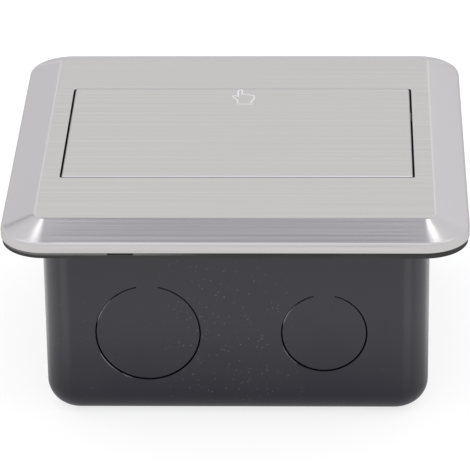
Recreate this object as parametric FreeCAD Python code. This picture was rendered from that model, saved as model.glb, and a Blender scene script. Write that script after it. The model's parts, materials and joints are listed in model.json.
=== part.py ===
import FreeCAD, Part
import math
import os
from FreeCAD import Vector

# A desk socket box: a steel back box let into a desk, a bevelled steel face plate on a gasket, a see-saw
# lid a hair proud of the plate, and two earthed sockets in a recess under the lid. Front is -Y, up is +Z
# and the origin is the middle of the box's underside. All sizes are in millimetres.

# Face plate
PLATE_SIZE = 120.0
PLATE_OVERHANG = 10.0
PLATE_SHEET = 1.5
RIDGE_CORNER_RADIUS = 3.0
RIDGE_CLEARANCE = 1.2
BEVEL_DROP = 3.2
RIM_HEIGHT = 2.5
RIM_EDGE_ROUNDING = 1.2
RIDGE_ROUNDING = 2.0
PLATE_STUD_RADIUS = 1.5
PLATE_STUD_INSET = 6.8
PLATE_STUD_LENGTH = 5.2

# Opening in the plate, and the lid that fills it
OPENING_SHIFT = 1.2
LID_GAP = 0.45
LID_CORNER_RADIUS = 0.6
LID_EDGE_ROUNDING = 0.45
LID_PROUD = 0.25
LID_PIN_RADIUS = 1.2
LID_PIN_LENGTH = 2.2
LID_PIN_SIDE_INSET = 12.8
LID_PIN_FRONT_INSET = 7.85
LID_PIN_BACK_INSET = 7.25
RETAINER_RADIUS = 3.0
RETAINER_SHEET = 0.6

# Hinge of the lid
TAIL_LENGTH = 13.0
HINGE_DROP = 3.9
HINGE_PIN_RADIUS = 1.3
BUSH_RADIUS = 1.8
BUSH_FLANGE = 0.8
EAR_RADIUS = 3.0
EAR_THICKNESS = 1.7
STOP_GAP = 0.25
STOP_THICKNESS = 1.3

# Moulded frame under the lid
LID_FRAME_PLATE = 1.2
LID_FRAME_MARGIN = 0.6
LID_RIB_HEIGHT = 0.8
LID_RIB_WIDTH = 1.4
BUFFER_RADIUS = 2.2
BUFFER_HEIGHT = 1.5
BUFFER_X = 6.0
BUFFER_INSET = 5.8

# Gasket under the plate's rim
GASKET_PROUD = 1.65
GASKET_INSET = 0.4
GASKET_BOX_GAP = 1.3
GASKET_RIB_WIDTH = 1.5
GASKET_RIB_HEIGHT = 1.2
GASKET_NOTCH_SHARE = 0.24
GASKET_NOTCH_WIDTH = 6.6
GASKET_NOTCH_HEIGHT = 0.8
GASKET_NOTCH_DEPTH = 0.9

# Back box
BOX_DEPTH = 55.0
BOX_SHEET = 1.2
BOX_CORNER_RADIUS = 9.0
BOX_BOTTOM_RADIUS = 7.0
KNOCKOUT_LARGE = 27.0
KNOCKOUT_SMALL = 22.0
KNOCKOUT_SHARE = 0.228
KNOCKOUT_HEIGHT = 24.5
KNOCKOUT_SLOT = 0.4
KNOCKOUT_LIFT = 0.12
KNOCKOUT_TAB = 5.5
BASE_HOLE_RADIUS = 2.25
BASE_HOLE_PITCH = 60.0
LUG_SHEET = 1.5
LUG_WIDTH = 7.0
LUG_HEIGHT = 8.5

# Support frame between the box and the plate
FRAME_FLANGE = 1.8
FRAME_WALL = 1.6
FRAME_BOX_GAP = 0.8
WINDOW_SIDE_CLEARANCE = 0.15
WINDOW_FRONT_CLEARANCE = 0.7
WINDOW_BACK_CLEARANCE = 0.9
DECK_THICKNESS = 2.5

# Socket inserts: fascia, well, and the parts below the well
FASCIA_THICKNESS = 3.0
FASCIA_CORNER_RADIUS = 1.5
FASCIA_BORDER = 0.55
FASCIA_CHAMFER = 0.4
INSERT_CLEARANCE = 0.3
WELL_MARGIN = 0.95
WELL_WALL = 1.0
WELL_DEPTH = 17.5
WELL_FLOOR = 2.0
WELL_LIP = 0.5
GUIDE_RIB_WIDTH = 4.0
GUIDE_RIB_REACH = 1.6
PIN_PITCH = 19.0
PIN_HOLE_RADIUS = 2.7
PIN_LEAD_IN = 0.6
SCREW_INSET = 3.4
BASE_INSET = 3.0
BASE_CORNER_RADIUS = 5.0
BASE_HEIGHT = 16.0
SLEEVE_RADIUS = 3.2
SLEEVE_BORE = 2.45
SLEEVE_LENGTH = 13.5
STRAP_WIDTH = 7.0
STRAP_SHEET = 0.8
STRAP_HEEL_INSET = 2.0
STRAP_BOW = 0.6
STRAP_BOW_HEIGHT = 3.0
STRAP_KNEE_INSET = 4.0
STRAP_KNEE_HEIGHT = 10.0
STRAP_TIP_INSET = 2.4
STRAP_TIP_HEIGHT = 13.5

# Screws and nuts
FIXING_RADIUS = 1.75
FIXING_HEAD_RADIUS = 2.8
FIXING_HEAD_HEIGHT = 1.8
FIXING_RECESS = 2.0
FIXING_LENGTH = 11.0
CENTRE_RADIUS = 1.5
CENTRE_HEAD_RADIUS = 2.8
CENTRE_HEAD_HEIGHT = 1.5
CENTRE_LENGTH = 13.0
TERMINAL_RADIUS = 2.3
TERMINAL_HEIGHT = 1.2
HEAD_CHAMFER = 0.35
DRIVE_SLOT = 0.8
DRIVE_REACH = 0.65
DRIVE_DEPTH = 0.7
NUT_FLATS = 5.5
NUT_HEIGHT = 2.4
EARTH_RADIUS = 2.0
EARTH_BOSS_RADIUS = 4.5
EARTH_BOSS_LENGTH = 4.0
EARTH_WASHER = 0.8
EARTH_HEAD_RADIUS = 3.6
EARTH_HEAD_HEIGHT = 2.0
EARTH_HEIGHT = 27.0

# Clearances
RUNNING = 0.05
EASY = 0.2
FREE = 0.1

# Heights worked out from the sizes above
FLANGE_TOP = BOX_DEPTH + FRAME_FLANGE
PLATE_TOP = FLANGE_TOP + PLATE_SHEET
RIM_TOP = PLATE_TOP - BEVEL_DROP
RIM_BOTTOM = RIM_TOP - RIM_HEIGHT
DESK_LEVEL = RIM_BOTTOM - GASKET_PROUD
LID_BOTTOM = FLANGE_TOP + LID_PROUD
LID_TOP = PLATE_TOP + LID_PROUD
LID_FRAME_BOTTOM = LID_BOTTOM - LID_FRAME_PLATE
BUFFER_BOTTOM = LID_FRAME_BOTTOM - BUFFER_HEIGHT
FASCIA_TOP = BUFFER_BOTTOM - FREE
DECK_TOP = FASCIA_TOP - FASCIA_THICKNESS
DECK_BOTTOM = DECK_TOP - DECK_THICKNESS
WELL_FLOOR_TOP = FASCIA_TOP - WELL_DEPTH
WELL_FLOOR_BOTTOM = WELL_FLOOR_TOP - WELL_FLOOR
BASE_BOTTOM = WELL_FLOOR_BOTTOM - BASE_HEIGHT

# Widths worked out from the plate inwards: box, opening, lid, fascia and well
BOX_SIZE = PLATE_SIZE - 2 * PLATE_OVERHANG
BOX_INSIDE = BOX_SIZE / 2 - BOX_SHEET
BEVEL_RUN = PLATE_OVERHANG - RIDGE_CLEARANCE
GASKET_WIDTH = PLATE_OVERHANG - GASKET_INSET - GASKET_BOX_GAP
WINDOW_HALF = BOX_INSIDE - FRAME_BOX_GAP - FRAME_WALL
OPENING_WIDTH = 2 * (WINDOW_HALF - WINDOW_SIDE_CLEARANCE)
LID_WIDTH = OPENING_WIDTH - 2 * LID_GAP
EAR_OUTER = LID_WIDTH / 2 - LID_FRAME_MARGIN
EAR_INNER = EAR_OUTER - EAR_THICKNESS
FASCIA_INNER = INSERT_CLEARANCE
FASCIA_OUTER = EAR_INNER - INSERT_CLEARANCE
SOCKET_X = (FASCIA_INNER + FASCIA_OUTER) / 2
WELL_OUTER = (FASCIA_OUTER - FASCIA_INNER) / 2 - WELL_MARGIN
WELL_RADIUS = WELL_OUTER - WELL_WALL
BASE_HALF = WELL_OUTER - BASE_INSET
KNOCKOUT_OFFSET = BOX_SIZE * KNOCKOUT_SHARE

# Depths worked out from the well outwards: fascia, stop wall, lid tail and opening
FASCIA_DEPTH = 2 * (WELL_OUTER + FASCIA_BORDER)
WINDOW_DEPTH = FASCIA_DEPTH + 2 * INSERT_CLEARANCE
TAIL_SPACE = STOP_THICKNESS + STOP_GAP + TAIL_LENGTH + LID_GAP
OPENING_DEPTH = WINDOW_DEPTH + TAIL_SPACE - WINDOW_FRONT_CLEARANCE
OPENING_FRONT = OPENING_SHIFT - OPENING_DEPTH / 2
OPENING_BACK = OPENING_SHIFT + OPENING_DEPTH / 2
LID_FRONT = OPENING_FRONT + LID_GAP
LID_BACK = OPENING_BACK - LID_GAP
HINGE_Y = LID_BACK - TAIL_LENGTH
HINGE_Z = LID_TOP - HINGE_DROP
BUSH_FLANGE_RADIUS = LID_BOTTOM - FREE - HINGE_Z
WINDOW_FRONT = OPENING_FRONT - WINDOW_FRONT_CLEARANCE
WINDOW_BACK = OPENING_BACK + WINDOW_BACK_CLEARANCE
STOP_BACK = HINGE_Y - STOP_GAP
STOP_FRONT = STOP_BACK - STOP_THICKNESS
POCKET_BOTTOM = HINGE_Z - TAIL_LENGTH - 2 * EASY
FASCIA_FRONT = WINDOW_FRONT + INSERT_CLEARANCE
FASCIA_BACK = STOP_FRONT - INSERT_CLEARANCE
SOCKET_Y = (FASCIA_FRONT + FASCIA_BACK) / 2

# Places of the fastenings
SCREW_X = FASCIA_OUTER - SCREW_INSET
SCREW_PLACES = [
    (side * SCREW_X, y)
    for side in (-1, 1)
    for y in (FASCIA_FRONT + SCREW_INSET, FASCIA_BACK - SCREW_INSET)
]
STUD_REACH = BOX_INSIDE - PLATE_STUD_INSET
STUD_PLACES = [(STUD_REACH * x, STUD_REACH * y) for x in (-1, 1) for y in (-1, 1)]
LID_PIN_X = LID_WIDTH / 2 - LID_PIN_SIDE_INSET
LID_PIN_ROWS = (LID_FRONT + LID_PIN_FRONT_INSET, HINGE_Y - LID_PIN_BACK_INSET)
LID_PIN_PLACES = [(LID_PIN_X * x, y) for x in (-1, 1) for y in LID_PIN_ROWS]

UP = Vector(0, 0, 1)
ORIGIN = Vector(0, 0, 0)


# Simple solids

def block(x0, x1, y0, y1, z0, z1):
    return Part.makeBox(x1 - x0, y1 - y0, z1 - z0, Vector(x0, y0, z0))


def post(x, y, z0, z1, radius):
    return Part.makeCylinder(radius, z1 - z0, Vector(x, y, z0))


def rod_x(x0, x1, y, z, radius):
    return Part.makeCylinder(radius, x1 - x0, Vector(x0, y, z), Vector(1, 0, 0))


def rod_y(x, y0, y1, z, radius):
    return Part.makeCylinder(radius, y1 - y0, Vector(x, y0, z), Vector(0, 1, 0))


def turned(x, y, profile):
    """Solid of revolution about an upright axis, from the (radius, z) points of its half section."""
    points = [Vector(radius, 0, z) for radius, z in profile]
    section = Part.Face(Part.makePolygon(points + points[:1]))
    return section.revolve(ORIGIN, UP, 360).translated(Vector(x, y, 0))


def flared_hole(x, y, z0, z1, radius, flare):
    """Round hole that widens at its top by a bevel as tall as it is wide."""
    return turned(x, y, [(0, z0), (radius, z0), (radius, z1 - flare), (radius + flare, z1), (0, z1)])


def rounded_face(corners):
    """Flat face through corner points, each given with the radius that rounds it."""
    edges = []
    ends = []
    count = len(corners)
    for index, (point, radius) in enumerate(corners):
        back = (corners[index - 1][0] - point).normalize()
        ahead = (corners[(index + 1) % count][0] - point).normalize()
        if radius == 0:
            ends.append((point, point))
            continue
        half_angle = back.getAngle(ahead) / 2
        reach = radius / math.tan(half_angle)
        inward = (back + ahead).normalize()
        middle = point + inward * (radius / math.sin(half_angle) - radius)
        start = point + back * reach
        finish = point + ahead * reach
        edges.append(Part.Arc(start, middle, finish).toShape())
        ends.append((start, finish))
    for index in range(count):
        start = ends[index - 1][1]
        finish = ends[index][0]
        if start.distanceToPoint(finish) > 1e-6:
            edges.append(Part.LineSegment(start, finish).toShape())
    return Part.Face(Part.Wire(Part.__sortEdges__(edges)))


def slab(x0, x1, y0, y1, z0, z1, radius):
    """Flat plate with rounded corners."""
    plan = [(x0, y0), (x1, y0), (x1, y1), (x0, y1)]
    face = rounded_face([(Vector(x, y, z0), radius) for x, y in plan])
    return face.extrude(UP * (z1 - z0))


def square_slab(size, z0, z1, radius):
    half = size / 2
    return slab(-half, half, -half, half, z0, z1, radius)


def pressing(section, size, corner_radius, web_low, web_high):
    """Square pressing: one section carried along four sides and round four corners, with a flat web."""
    inner = size / 2 - corner_radius
    side = section.translated(Vector(0, -inner, 0)).extrude(Vector(0, 2 * inner, 0))
    corner = section.translated(Vector(0, inner, 0)).revolve(Vector(inner, inner, 0), UP, 90)
    pieces = []
    for quarter in range(4):
        pieces.append(side.rotated(ORIGIN, UP, 90 * quarter))
        pieces.append(corner.rotated(ORIGIN, UP, 90 * quarter))
    web = block(-inner, inner, -inner, inner, web_low, web_high)
    return web.multiFuse(pieces).removeSplitter()


def section_face(points):
    """Section in the X-Z plane from (x, z, rounding) points."""
    return rounded_face([(Vector(x, 0, z), radius) for x, z, radius in points])


def thick_strip_x(path, sheet, x0, x1):
    """Strip of sheet metal whose edge follows a path of (y, z) points, with the sheet on its left."""
    left = []
    for index, point in enumerate(path):
        before = path[max(index - 1, 0)]
        after = path[min(index + 1, len(path) - 1)]
        normals = []
        for start, finish in ((before, point), (point, after)):
            length = math.hypot(finish[0] - start[0], finish[1] - start[1])
            if length > 0:
                normals.append((-(finish[1] - start[1]) / length, (finish[0] - start[0]) / length))
        across = sum(normal[0] for normal in normals)
        along = sum(normal[1] for normal in normals)
        scale = sheet * len(normals) / (across ** 2 + along ** 2)
        left.append((point[0] + across * scale, point[1] + along * scale))
    outline = path + left[::-1]
    points = [Vector(x0, y, z) for y, z in outline]
    return Part.Face(Part.makePolygon(points + points[:1])).extrude(Vector(x1 - x0, 0, 0))


def mirrored(shape):
    return shape.mirror(ORIGIN, Vector(1, 0, 0))


def hex_nut(x, y, top, bore):
    corner = NUT_FLATS / math.sqrt(3)
    turns = [math.radians(60 * step) for step in range(7)]
    points = [Vector(x + corner * math.cos(a), y + corner * math.sin(a), top - NUT_HEIGHT) for a in turns]
    nut = Part.Face(Part.makePolygon(points)).extrude(UP * NUT_HEIGHT)
    return nut.cut(post(x, y, top - NUT_HEIGHT, top, bore))


def cross_head(x, y, seat, radius, height):
    """Screw head with a bevelled top edge and a cross recess."""
    top = seat + height
    reach = radius * DRIVE_REACH
    half = DRIVE_SLOT / 2
    cross = [
        block(x - reach, x + reach, y - half, y + half, top - DRIVE_DEPTH, top),
        block(x - half, x + half, y - reach, y + reach, top - DRIVE_DEPTH, top),
    ]
    inner = radius - HEAD_CHAMFER
    head = turned(x, y, [(0, seat), (radius, seat), (radius, top - HEAD_CHAMFER), (inner, top), (0, top)])
    return head.cut(cross)


def pan_screw(x, y, seat, head_radius, head_height, radius, length):
    """Screw standing down from its seat."""
    head = cross_head(x, y, seat, head_radius, head_height)
    return head.fuse(post(x, y, seat - length, seat, radius)).removeSplitter()


# Pieces of the fixed housing

def face_plate():
    half = PLATE_SIZE / 2
    ridge = half - BEVEL_RUN
    inner = ridge - RIDGE_CORNER_RADIUS
    slope = math.atan2(BEVEL_DROP, BEVEL_RUN)
    ridge_inset = PLATE_SHEET * math.tan(slope / 2)
    rim_inset = PLATE_SHEET * (1 / math.cos(slope) - math.tan(slope))
    section = section_face([
        (half, RIM_BOTTOM, 0),
        (half, RIM_TOP, RIM_EDGE_ROUNDING),
        (ridge, PLATE_TOP, RIDGE_ROUNDING),
        (inner, PLATE_TOP, 0),
        (inner, FLANGE_TOP, 0),
        (ridge - ridge_inset, FLANGE_TOP, 0),
        (half - PLATE_SHEET, RIM_TOP - rim_inset, 0),
        (half - PLATE_SHEET, RIM_BOTTOM, 0),
    ])
    plate = pressing(section, PLATE_SIZE, RIDGE_CORNER_RADIUS + BEVEL_RUN, FLANGE_TOP, PLATE_TOP)
    half_opening = OPENING_WIDTH / 2
    plate = plate.cut(slab(-half_opening, half_opening, OPENING_FRONT, OPENING_BACK, FLANGE_TOP, PLATE_TOP,
                           LID_CORNER_RADIUS))
    stud_end = FLANGE_TOP - PLATE_STUD_LENGTH
    studs = [post(x, y, stud_end, FLANGE_TOP, PLATE_STUD_RADIUS) for x, y in STUD_PLACES]
    return plate.fuse(studs).removeSplitter()


def plate_gasket():
    outer_radius = RIDGE_CORNER_RADIUS + BEVEL_RUN
    outer = PLATE_SIZE - 2 * GASKET_INSET
    inner = outer - 2 * GASKET_WIDTH
    ring = square_slab(outer, DESK_LEVEL, RIM_BOTTOM, outer_radius - GASKET_INSET)
    ring = ring.cut(square_slab(inner, DESK_LEVEL, RIM_BOTTOM, BOX_CORNER_RADIUS))
    rib_inset = PLATE_SHEET + EASY
    rib_outer = PLATE_SIZE - 2 * rib_inset
    rib_inner = rib_outer - 2 * GASKET_RIB_WIDTH
    rib_top = RIM_BOTTOM + GASKET_RIB_HEIGHT
    rib = square_slab(rib_outer, RIM_BOTTOM, rib_top, outer_radius - rib_inset)
    rib = rib.cut(square_slab(rib_inner, RIM_BOTTOM, rib_top, outer_radius - rib_inset - GASKET_RIB_WIDTH))
    notch_x = -PLATE_SIZE * GASKET_NOTCH_SHARE
    front = -outer / 2
    notch = block(notch_x - GASKET_NOTCH_WIDTH / 2, notch_x + GASKET_NOTCH_WIDTH / 2,
                  front, front + GASKET_NOTCH_DEPTH, RIM_BOTTOM - GASKET_NOTCH_HEIGHT, RIM_BOTTOM)
    return ring.fuse(rib).cut(notch).removeSplitter()


def knockout_slot(x, diameter):
    """C-shaped cut round a knockout in the front wall, leaving the tab that holds the disc at the top.

    The disc sits a little high in its hole, so the cut is widest at the bottom."""
    outside = -BOX_SIZE / 2 - BOX_SHEET
    inside = -BOX_SIZE / 2 + 2 * BOX_SHEET
    radius = diameter / 2
    ring = rod_y(x, outside, inside, KNOCKOUT_HEIGHT, radius + KNOCKOUT_SLOT / 2)
    disc_height = KNOCKOUT_HEIGHT + KNOCKOUT_LIFT
    ring = ring.cut(rod_y(x, outside, inside, disc_height, radius - KNOCKOUT_SLOT / 2))
    half_tab = KNOCKOUT_TAB / 2
    tab = block(x - half_tab, x + half_tab, outside, inside, KNOCKOUT_HEIGHT, KNOCKOUT_HEIGHT + diameter)
    return ring.cut(tab)


def back_box():
    half = BOX_SIZE / 2
    inner = half - BOX_CORNER_RADIUS
    section = section_face([
        (half, BOX_DEPTH, 0),
        (half, 0, BOX_BOTTOM_RADIUS),
        (inner, 0, 0),
        (inner, BOX_SHEET, 0),
        (BOX_INSIDE, BOX_SHEET, BOX_BOTTOM_RADIUS - BOX_SHEET),
        (BOX_INSIDE, BOX_DEPTH, 0),
    ])
    box = pressing(section, BOX_SIZE, BOX_CORNER_RADIUS, 0, BOX_SHEET)
    cuts = []
    for quarter in range(4):
        for x, diameter in ((-KNOCKOUT_OFFSET, KNOCKOUT_LARGE), (KNOCKOUT_OFFSET, KNOCKOUT_SMALL)):
            cuts.append(knockout_slot(x, diameter).rotated(ORIGIN, UP, 90 * quarter))
    reach = BASE_HOLE_PITCH / 2
    for x in (-reach, reach):
        for y in (-reach, reach):
            cuts.append(post(x, y, 0, BOX_SHEET, BASE_HOLE_RADIUS))
    return box.cut(cuts)


def box_lugs():
    lugs = []
    for x, y in SCREW_PLACES:
        side = math.copysign(1, x)
        tab = block(SCREW_X - 2 * LUG_SHEET, BOX_INSIDE, y - LUG_WIDTH / 2, y + LUG_WIDTH / 2,
                    DECK_BOTTOM - LUG_SHEET, DECK_BOTTOM)
        foot = block(BOX_INSIDE - LUG_SHEET, BOX_INSIDE, y - LUG_WIDTH / 2, y + LUG_WIDTH / 2,
                     DECK_BOTTOM - LUG_HEIGHT, DECK_BOTTOM)
        well = post(SOCKET_X, SOCKET_Y, 0, BOX_DEPTH, WELL_OUTER + 2 * INSERT_CLEARANCE)
        hole = post(SCREW_X, y, 0, BOX_DEPTH, FIXING_RADIUS + RUNNING)
        lug = tab.fuse(foot).cut([well, hole]).removeSplitter()
        lugs.append(lug if side > 0 else mirrored(lug))
    return Part.makeCompound(lugs)


def support_frame():
    wall_half = WINDOW_HALF + FRAME_WALL
    front = WINDOW_FRONT - FRAME_WALL
    back = WINDOW_BACK + FRAME_WALL
    shell = square_slab(BOX_SIZE, BOX_DEPTH, FLANGE_TOP, BOX_CORNER_RADIUS)
    shell = shell.fuse([
        block(-wall_half, wall_half, front, back, DECK_BOTTOM, BOX_DEPTH),
        block(-wall_half, wall_half, STOP_FRONT, back, POCKET_BOTTOM, BOX_DEPTH),
    ])
    hollows = [
        block(-WINDOW_HALF, WINDOW_HALF, WINDOW_FRONT, WINDOW_BACK, DECK_TOP, FLANGE_TOP),
        block(-WINDOW_HALF, WINDOW_HALF, STOP_BACK, WINDOW_BACK, POCKET_BOTTOM, FLANGE_TOP),
        rod_x(-wall_half, wall_half, HINGE_Y, HINGE_Z, HINGE_PIN_RADIUS),
    ]
    for side in (-1, 1):
        hollows.append(post(side * SOCKET_X, SOCKET_Y, DECK_BOTTOM, DECK_TOP, WELL_OUTER + EASY))
    for x, y in SCREW_PLACES:
        hollows.append(post(x, y, DECK_BOTTOM, DECK_TOP, FIXING_RADIUS + EASY))
    for x, y in STUD_PLACES:
        hollows.append(post(x, y, BOX_DEPTH, FLANGE_TOP, PLATE_STUD_RADIUS + EASY))
    return shell.cut(hollows).removeSplitter()


def stud_nuts():
    return Part.makeCompound([hex_nut(x, y, BOX_DEPTH, PLATE_STUD_RADIUS + RUNNING) for x, y in STUD_PLACES])


def fixing_screws():
    seat = FASCIA_TOP - FIXING_RECESS
    screws = [
        pan_screw(x, y, seat, FIXING_HEAD_RADIUS, FIXING_HEAD_HEIGHT, FIXING_RADIUS, FIXING_LENGTH)
        for x, y in SCREW_PLACES
    ]
    return Part.makeCompound(screws)


def hinge_pin():
    return rod_x(EAR_INNER, WINDOW_HALF + FRAME_WALL, HINGE_Y, HINGE_Z, HINGE_PIN_RADIUS)


def earth_boss():
    front = BOX_INSIDE - EARTH_BOSS_LENGTH
    boss = rod_y(0, front, BOX_INSIDE, EARTH_HEIGHT, EARTH_BOSS_RADIUS)
    return boss.cut(rod_y(0, front, BOX_INSIDE, EARTH_HEIGHT, EARTH_RADIUS + RUNNING))


def earth_washer():
    front = BOX_INSIDE - EARTH_BOSS_LENGTH - EARTH_WASHER
    washer = rod_y(0, front, front + EARTH_WASHER, EARTH_HEIGHT, EARTH_BOSS_RADIUS)
    return washer.cut(rod_y(0, front, front + EARTH_WASHER, EARTH_HEIGHT, EARTH_RADIUS + EASY))


def earth_screw():
    seat = BOX_INSIDE - EARTH_BOSS_LENGTH - EARTH_WASHER
    screw = pan_screw(0, 0, 0, EARTH_HEAD_RADIUS, EARTH_HEAD_HEIGHT, EARTH_RADIUS, EARTH_BOSS_LENGTH)
    screw = screw.rotated(ORIGIN, Vector(1, 0, 0), 90)
    return screw.translated(Vector(0, seat, EARTH_HEIGHT))


# Pieces of one socket, drawn on the right-hand side

def socket_insert():
    fascia = slab(FASCIA_INNER, FASCIA_OUTER, FASCIA_FRONT, FASCIA_BACK, DECK_TOP, FASCIA_TOP,
                  FASCIA_CORNER_RADIUS)
    top_edges = [edge for edge in fascia.Edges if edge.BoundBox.ZMin > FASCIA_TOP - 1e-6]
    fascia = fascia.makeChamfer(FASCIA_CHAMFER, top_edges)
    cup = post(SOCKET_X, SOCKET_Y, WELL_FLOOR_BOTTOM, DECK_TOP, WELL_OUTER)
    hollows = [flared_hole(SOCKET_X, SOCKET_Y, WELL_FLOOR_TOP, FASCIA_TOP, WELL_RADIUS, WELL_LIP)]
    for side in (-1, 1):
        hollows.append(flared_hole(SOCKET_X + side * PIN_PITCH / 2, SOCKET_Y, WELL_FLOOR_BOTTOM,
                                   WELL_FLOOR_TOP, PIN_HOLE_RADIUS, PIN_LEAD_IN))
    hollows.append(post(SOCKET_X, SOCKET_Y, WELL_FLOOR_BOTTOM, WELL_FLOOR_TOP, CENTRE_RADIUS + EASY))
    for x, y in SCREW_PLACES:
        hollows.append(post(x, y, DECK_TOP, FASCIA_TOP, FIXING_RADIUS + EASY))
        hollows.append(post(x, y, FASCIA_TOP - FIXING_RECESS, FASCIA_TOP, FIXING_HEAD_RADIUS + EASY))
    insert = fascia.fuse(cup).cut(hollows)
    half_rib = GUIDE_RIB_WIDTH / 2
    ribs = []
    for side in (-1, 1):
        wall = SOCKET_X + side * (WELL_RADIUS + WELL_WALL / 2)
        tip = SOCKET_X + side * (WELL_RADIUS - GUIDE_RIB_REACH)
        ribs.append(block(min(wall, tip), max(wall, tip), SOCKET_Y - half_rib, SOCKET_Y + half_rib,
                          WELL_FLOOR_TOP, DECK_TOP))
    return insert.fuse(ribs).removeSplitter()


def socket_base():
    body = slab(SOCKET_X - BASE_HALF, SOCKET_X + BASE_HALF, SOCKET_Y - BASE_HALF, SOCKET_Y + BASE_HALF,
                BASE_BOTTOM, WELL_FLOOR_BOTTOM, BASE_CORNER_RADIUS)
    screw_end = WELL_FLOOR_TOP + STRAP_SHEET - CENTRE_LENGTH
    hollows = [post(SOCKET_X, SOCKET_Y, screw_end - EASY, WELL_FLOOR_BOTTOM, CENTRE_RADIUS + RUNNING)]
    for side in (-1, 1):
        hollows.append(post(SOCKET_X + side * PIN_PITCH / 2, SOCKET_Y, WELL_FLOOR_BOTTOM - SLEEVE_LENGTH,
                            WELL_FLOOR_BOTTOM, SLEEVE_RADIUS + RUNNING))
    return body.cut(hollows)


def contact_sleeves():
    low = WELL_FLOOR_BOTTOM - SLEEVE_LENGTH
    sleeves = []
    for side in (-1, 1):
        x = SOCKET_X + side * PIN_PITCH / 2
        sleeve = post(x, SOCKET_Y, low, WELL_FLOOR_BOTTOM, SLEEVE_RADIUS)
        sleeves.append(sleeve.cut(post(x, SOCKET_Y, low + STRAP_SHEET, WELL_FLOOR_BOTTOM, SLEEVE_BORE)))
    return Part.makeCompound(sleeves)


def earth_strap():
    """Sprung strip across the well floor, with an arm up each side that presses on the plug."""
    floor = WELL_FLOOR_TOP
    heel = WELL_RADIUS - STRAP_HEEL_INSET
    arm = [
        (heel, floor),
        (heel + STRAP_BOW, floor + STRAP_BOW_HEIGHT),
        (WELL_RADIUS - STRAP_KNEE_INSET, floor + STRAP_KNEE_HEIGHT),
        (WELL_RADIUS - STRAP_TIP_INSET, floor + STRAP_TIP_HEIGHT),
    ]
    path = [(SOCKET_Y - y, z) for y, z in reversed(arm)] + [(SOCKET_Y + y, z) for y, z in arm]
    half = STRAP_WIDTH / 2
    strap = thick_strip_x(path, STRAP_SHEET, SOCKET_X - half, SOCKET_X + half)
    return strap.cut(post(SOCKET_X, SOCKET_Y, floor, floor + STRAP_SHEET, CENTRE_RADIUS + EASY))


def centre_screw():
    seat = WELL_FLOOR_TOP + STRAP_SHEET
    return pan_screw(SOCKET_X, SOCKET_Y, seat, CENTRE_HEAD_RADIUS, CENTRE_HEAD_HEIGHT, CENTRE_RADIUS,
                     CENTRE_LENGTH)


def terminal_screws():
    """Heads of the three wire clamps on the underside of the socket base."""
    head = cross_head(0, 0, 0, TERMINAL_RADIUS, TERMINAL_HEIGHT).rotated(ORIGIN, Vector(1, 0, 0), 180)
    y = SOCKET_Y - BASE_HALF / 2
    places = [Vector(SOCKET_X + step * PIN_PITCH / 2, y, BASE_BOTTOM) for step in (-1, 0, 1)]
    return Part.makeCompound([head.translated(place) for place in places])


# Pieces of the tilting lid

def lid():
    half = LID_WIDTH / 2
    sheet = slab(-half, half, LID_FRONT, LID_BACK, LID_BOTTOM, LID_TOP, LID_CORNER_RADIUS)
    top_edges = [edge for edge in sheet.Edges if edge.BoundBox.ZMin > LID_TOP - 1e-6]
    sheet = sheet.makeFillet(LID_EDGE_ROUNDING, top_edges)
    pins = [post(x, y, LID_BOTTOM - LID_PIN_LENGTH, LID_BOTTOM, LID_PIN_RADIUS) for x, y in LID_PIN_PLACES]
    return sheet.fuse(pins).removeSplitter()


def lid_frame():
    front = LID_FRONT + LID_FRAME_MARGIN
    back = LID_BACK - LID_FRAME_MARGIN
    rib_bottom = LID_FRAME_BOTTOM - LID_RIB_HEIGHT
    ear_front = HINGE_Y - EAR_RADIUS
    ear_back = HINGE_Y + EAR_RADIUS
    frame = block(-EAR_OUTER, EAR_OUTER, front, back, LID_FRAME_BOTTOM, LID_BOTTOM)
    ribs = [
        block(-EAR_OUTER, EAR_OUTER, front, front + LID_RIB_WIDTH, rib_bottom, LID_FRAME_BOTTOM),
        block(-LID_RIB_WIDTH / 2, LID_RIB_WIDTH / 2, front, STOP_FRONT, rib_bottom, LID_FRAME_BOTTOM),
    ]
    for side in (-1, 1):
        ears = [
            block(EAR_INNER, EAR_OUTER, front, HINGE_Y, rib_bottom, LID_FRAME_BOTTOM),
            block(EAR_INNER, EAR_OUTER, ear_front, ear_back, HINGE_Z, LID_FRAME_BOTTOM),
            rod_x(EAR_INNER, EAR_OUTER, HINGE_Y, HINGE_Z, EAR_RADIUS),
        ]
        ribs += ears if side > 0 else [mirrored(ear) for ear in ears]
    cuts = [block(-EAR_OUTER, EAR_OUTER, front, back, LID_BOTTOM, LID_BOTTOM + EAR_RADIUS)]
    for side in (-1, 1):
        bore = rod_x(EAR_INNER, EAR_OUTER, HINGE_Y, HINGE_Z, BUSH_RADIUS)
        cuts.append(bore if side > 0 else mirrored(bore))
    for x, y in LID_PIN_PLACES:
        cuts.append(post(x, y, LID_FRAME_BOTTOM, LID_BOTTOM, LID_PIN_RADIUS + RUNNING))
    return frame.fuse(ribs).cut(cuts).removeSplitter()


def lid_retainers():
    low = LID_FRAME_BOTTOM - RETAINER_SHEET
    rings = []
    for x, y in LID_PIN_PLACES:
        ring = post(x, y, low, LID_FRAME_BOTTOM, RETAINER_RADIUS)
        rings.append(ring.cut(post(x, y, low, LID_FRAME_BOTTOM, LID_PIN_RADIUS + RUNNING)))
    return Part.makeCompound(rings)


def lid_buffers():
    y = LID_FRONT + BUFFER_INSET
    places = (-BUFFER_X, BUFFER_X)
    return Part.makeCompound([post(x, y, BUFFER_BOTTOM, LID_FRAME_BOTTOM, BUFFER_RADIUS) for x in places])


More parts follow.
